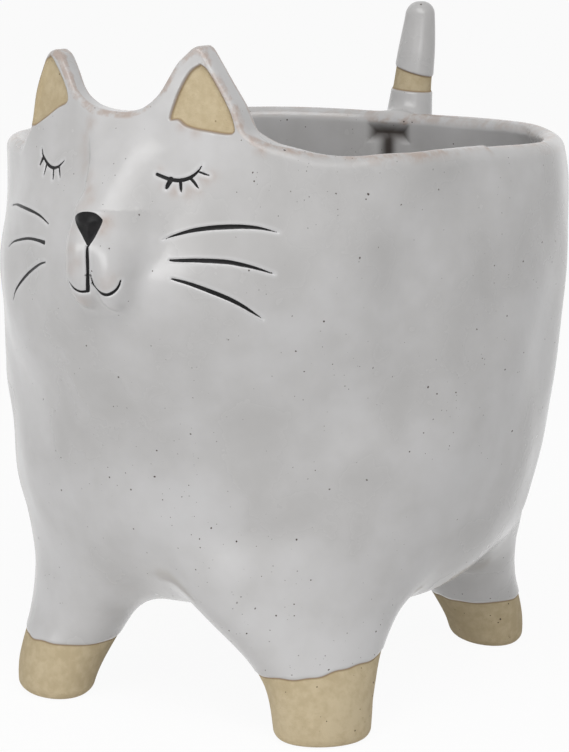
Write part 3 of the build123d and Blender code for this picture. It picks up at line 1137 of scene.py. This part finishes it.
GLAZE = (0.61, 0.602, 0.60, 1.0)
GLAZE_THIN = (0.53, 0.522, 0.515, 1.0)
GLAZE_POOL = (0.675, 0.67, 0.675, 1.0)
GLAZE_BREAK = (0.42, 0.29, 0.22, 1.0)
SPECK = (0.055, 0.035, 0.028, 1.0)
# Near black painted shade for the T shaped hollow inside the back wall
HOLLOW_SHADE = (0.035, 0.024, 0.018, 1.0)
CLAY = (0.54, 0.437, 0.27, 1.0)
CLAY_LIGHT = (0.64, 0.535, 0.355, 1.0)
CLAY_DARK = (0.36, 0.26, 0.13, 1.0)
DIP_LINE = (0.22, 0.13, 0.06, 1.0)
BLACK = (0.004, 0.004, 0.0045, 1.0)
BLACK_WORN = (0.012, 0.011, 0.012, 1.0)
WHITE = (1.0, 1.0, 1.0, 1.0)


def glaze_material():
    material, tree, place = new_material("Speckled off-white glaze", GLAZE[:3])
    drift = placed(tree, mottle, Broad=26.0, Fine=110.0, Fine_share=0.3)
    colour = blend(tree, spread(tree, drift, 0.3, 0.6), GLAZE_THIN, GLAZE)
    colour = blend(tree, spread(tree, drift, 0.46, 0.76, 0.0, 0.8), colour, GLAZE_POOL)
    # The glaze breaks brown where it runs thin, on sharp edges and at the stains
    ragged = noise(tree, place, 240.0, 4.0, 0.65).outputs[0]
    turned = spread(tree, measured(tree, "edge_bend"), 0.17, 0.42)
    worn = times(tree, turned, spread(tree, ragged, 0.36, 0.62))
    stained = times(tree, measured(tree, "stain"), spread(tree, ragged, 0.3, 0.6, 0.45, 1.0))
    colour = blend(tree, times(tree, larger(tree, worn, stained), 0.6), colour, GLAZE_BREAK)
    # Painted shade: the T shaped hollow inside the back wall is coloured near black, standing in for the
    # shade that falls in it
    hollow = spread(tree, measured(tree, "hollow_gap"), -0.9, 2.7, 0.95, 0.0)
    colour = blend(tree, hollow, colour, HOLLOW_SHADE)
    # It pools beside the black lines and ends in a brown edge at the bare clay
    pooled = times(tree, spread(tree, measured(tree, "line_gap"), 0.0, 1.3, 1.0, 0.0), 0.75)
    colour = blend(tree, pooled, colour, GLAZE_POOL)
    brown_edge = times(tree, spread(tree, measured(tree, "bare_gap"), 0.0, 0.42, 1.0, 0.0), 0.6)
    colour = blend(tree, brown_edge, colour, DIP_LINE)
    dots = placed(tree, specks, Spacing=380.0, Size=0.15, Share=0.6)
    fine_dots = placed(tree, specks, Spacing=760.0, Size=0.18, Share=0.3)
    dotted = larger(tree, dots, times(tree, fine_dots, 0.55))
    colour = blend(tree, dotted, colour, SPECK)
    peel = noise(tree, place, 150.0, 2.0, 0.45).outputs[0]
    pits = times(tree, dotted, -0.25)
    rough = spread(tree, drift, 0.3, 0.7, 0.3, 0.2)
    shader = finish(material, colour, rough, maths(tree, "ADD", peel, pits), 0.3, 0.0003)
    shader.inputs["Coat Weight"].default_value = 0.2
    shader.inputs["Coat Roughness"].default_value = 0.16
    return material


def clay_material():
    material, tree, place = new_material("Bare buff clay", CLAY[:3])
    drift = placed(tree, mottle, Broad=45.0, Fine=420.0, Fine_share=0.55)
    colour = blend(tree, spread(tree, drift, 0.36, 0.64), CLAY, CLAY_LIGHT)
    stained = times(tree, spread(tree, measured(tree, "bare_gap"), -0.6, 0.0), 0.75)
    colour = blend(tree, stained, colour, DIP_LINE)
    dots = placed(tree, specks, Spacing=560.0, Size=0.26, Share=0.3)
    colour = blend(tree, times(tree, dots, 0.85), colour, CLAY_DARK)
    dark_dots = placed(tree, specks, Spacing=560.0, Size=0.22, Share=0.3)
    colour = blend(tree, dark_dots, colour, SPECK)
    sand = noise(tree, place, 1500.0, 4.0, 0.7).outputs[0]
    grit = maths(tree, "ADD", sand, times(tree, dark_dots, -0.6))
    finish(material, colour, spread(tree, drift, 0.3, 0.7, 0.78, 0.92), grit, 0.6, 0.0003)
    return material


def black_material():
    material, tree, place = new_material("Black brushed underglaze", BLACK[:3])
    drift = placed(tree, mottle, Broad=220.0, Fine=900.0, Fine_share=0.5)
    colour = blend(tree, spread(tree, drift, 0.4, 0.7), BLACK, BLACK_WORN)
    brushed = noise(tree, place, 700.0, 3.0).outputs[0]
    shader = finish(material, colour, spread(tree, drift, 0.3, 0.7, 0.28, 0.4), brushed, 0.3, 0.0002)
    shader.inputs["Specular IOR Level"].default_value = 0.2
    return material


finishes = {"glaze": glaze_material(), "clay": clay_material(), "black": black_material()}


# Pieces

def finish_of(name):
    if name in LINES or name == "nose":
        return "black"
    if name.endswith("_paw") or name.endswith("inner_ear") or name == "tail_band":
        return "clay"
    return "glaze"


def new_object(name, data):
    made = bpy.data.objects.new(name, data)
    bpy.context.scene.collection.objects.link(made)
    return made


def make_piece(name, chosen):
    """One named piece of the skin, with its finish, its body and the solid that it stands for."""
    used, back = np.unique(faces[chosen], return_inverse=True)
    places = in_frame(verts[used])
    corners = back.reshape(-1, 3)
    mesh = bpy.data.meshes.new(name + "_skin")
    mesh.vertices.add(len(places))
    mesh.vertices.foreach_set("co", places.astype(np.float32).ravel())
    mesh.loops.add(corners.size)
    mesh.loops.foreach_set("vertex_index", corners.astype(np.int32).ravel())
    mesh.polygons.add(len(corners))
    mesh.polygons.foreach_set("loop_start", np.arange(0, corners.size, 3, dtype=np.int32))
    mesh.polygons.foreach_set("loop_total", np.full(len(corners), 3, dtype=np.int32))
    mesh.update(calc_edges=True)
    mesh.validate()
    for attribute, values in SKIN_VALUES.items():
        data = mesh.attributes.new(attribute, "FLOAT", "POINT").data
        data.foreach_set("value", values[used].astype(np.float32))
    mesh.polygons.foreach_set("use_smooth", np.ones(len(corners), dtype=bool))
    mesh.normals_split_custom_set_from_vertices(lean[used].tolist())
    piece = new_object(name + "_piece", mesh)
    slot = finish_of(name)
    mesh.materials.append(finishes[slot])
    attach(piece, "root")
    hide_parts(name)


for number, name in enumerate(["pot_wall"] + [name for name, _ in PARTING]):
    make_piece(name, labels == number)


# Floor, light and camera

FLOOR_REACH = 8.0
FLOOR_GREY = (0.93, 0.93, 0.93, 1.0)
FLOOR_WHITE_SHARE = 0.94
WORLD_LIGHT = 0.28
# Where the soft boxes point, in millimetres, then the place, width, height and power of each
AIM = (0.0, -20.0, 95.0)
SOFT_BOXES = {
    "key_box": ((700.0, -520.0, 900.0), 0.5, 0.5, 2.3),
    "overhead_box": ((190.0, -600.0, 1010.0), 0.6, 0.6, 3.9),
    "front_box": ((-280.0, -1080.0, 60.0), 0.9, 0.35, 3.8),
}


def seen_straight(tree):
    """One where the camera, a reflection or a clear body looks straight at the backdrop."""
    path = node(tree, "ShaderNodeLightPath")
    straight = larger(tree, path.outputs["Is Camera Ray"], path.outputs["Is Glossy Ray"])
    return larger(tree, straight, path.outputs["Is Transmission Ray"])


def make_floor():
    """A pale sheet that keeps the shadow and is all but white to the camera."""
    mesh = bpy.data.meshes.new("floor_sheet")
    corners = [(-1, -1), (1, -1), (1, 1), (-1, 1)]
    mesh.from_pydata([(FLOOR_REACH * x, FLOOR_REACH * y, 0) for x, y in corners], [], [(0, 1, 2, 3)])
    new_object("floor_sheet", mesh)
    material = bpy.data.materials.new("Pale floor")
    tree = fresh_tree(material)
    matt = node(tree, "ShaderNodeBsdfDiffuse", {"Color": FLOOR_GREY})
    white = node(tree, "ShaderNodeEmission", {"Color": WHITE, "Strength": 1.0})
    share = times(tree, seen_straight(tree), FLOOR_WHITE_SHARE)
    mixed = node(tree, "ShaderNodeMixShader", {0: share, 1: matt.outputs[0], 2: white.outputs[0]})
    leave = tree.nodes.new("ShaderNodeOutputMaterial")
    tree.links.new(mixed.outputs[0], leave.inputs[0])
    mesh.materials.append(material)


def make_world():
    """Weak even light, behind which the camera sees white."""
    world = bpy.data.worlds.new("Pale studio")
    bpy.context.scene.world = world
    tree = fresh_tree(world)
    strength = maths(tree, "MULTIPLY_ADD", seen_straight(tree), 1.0 - WORLD_LIGHT, WORLD_LIGHT)
    back = node(tree, "ShaderNodeBackground", {"Color": WHITE, "Strength": strength})
    leave = tree.nodes.new("ShaderNodeOutputWorld")
    tree.links.new(back.outputs[0], leave.inputs[0])


def set_place(thing, x_axis, y_axis, z_axis, place):
    """Puts a lamp or camera at a place in millimetres from the tub's axis."""
    turned = Matrix.Identity(4)
    for column, axis in enumerate((x_axis, y_axis, z_axis, in_frame(place))):
        for row in range(3):
            turned[row][column] = float(axis[row])
    thing.matrix_world = turned


def make_light(name, place, width, height, power):
    light = bpy.data.lights.new(name, "AREA")
    light.shape = "RECTANGLE"
    light.size = width
    light.size_y = height
    light.energy = power
    towards = np.array(AIM) - np.array(place)
    towards /= np.linalg.norm(towards)
    side = np.cross(towards, upright)
    side /= np.linalg.norm(side)
    set_place(new_object(name, light), side, np.cross(side, towards), -towards, place)


make_floor()
make_world()
for name, settings in SOFT_BOXES.items():
    make_light(name, *settings)

lens = bpy.data.cameras.new("picture_camera")
lens.sensor_fit = "VERTICAL"
lens.sensor_height = SENSOR_HEIGHT
lens.lens = SENSOR_HEIGHT * CAMERA_FOCUS / PICTURE_HEIGHT
lens.clip_start = 0.01
lens.clip_end = 50.0
camera = new_object("picture_camera", lens)
set_place(camera, right, over, -ahead, camera_place)
bpy.context.scene.camera = camera
bpy.context.scene.view_settings.view_transform = "Standard"

bpy.context.view_layer.update()
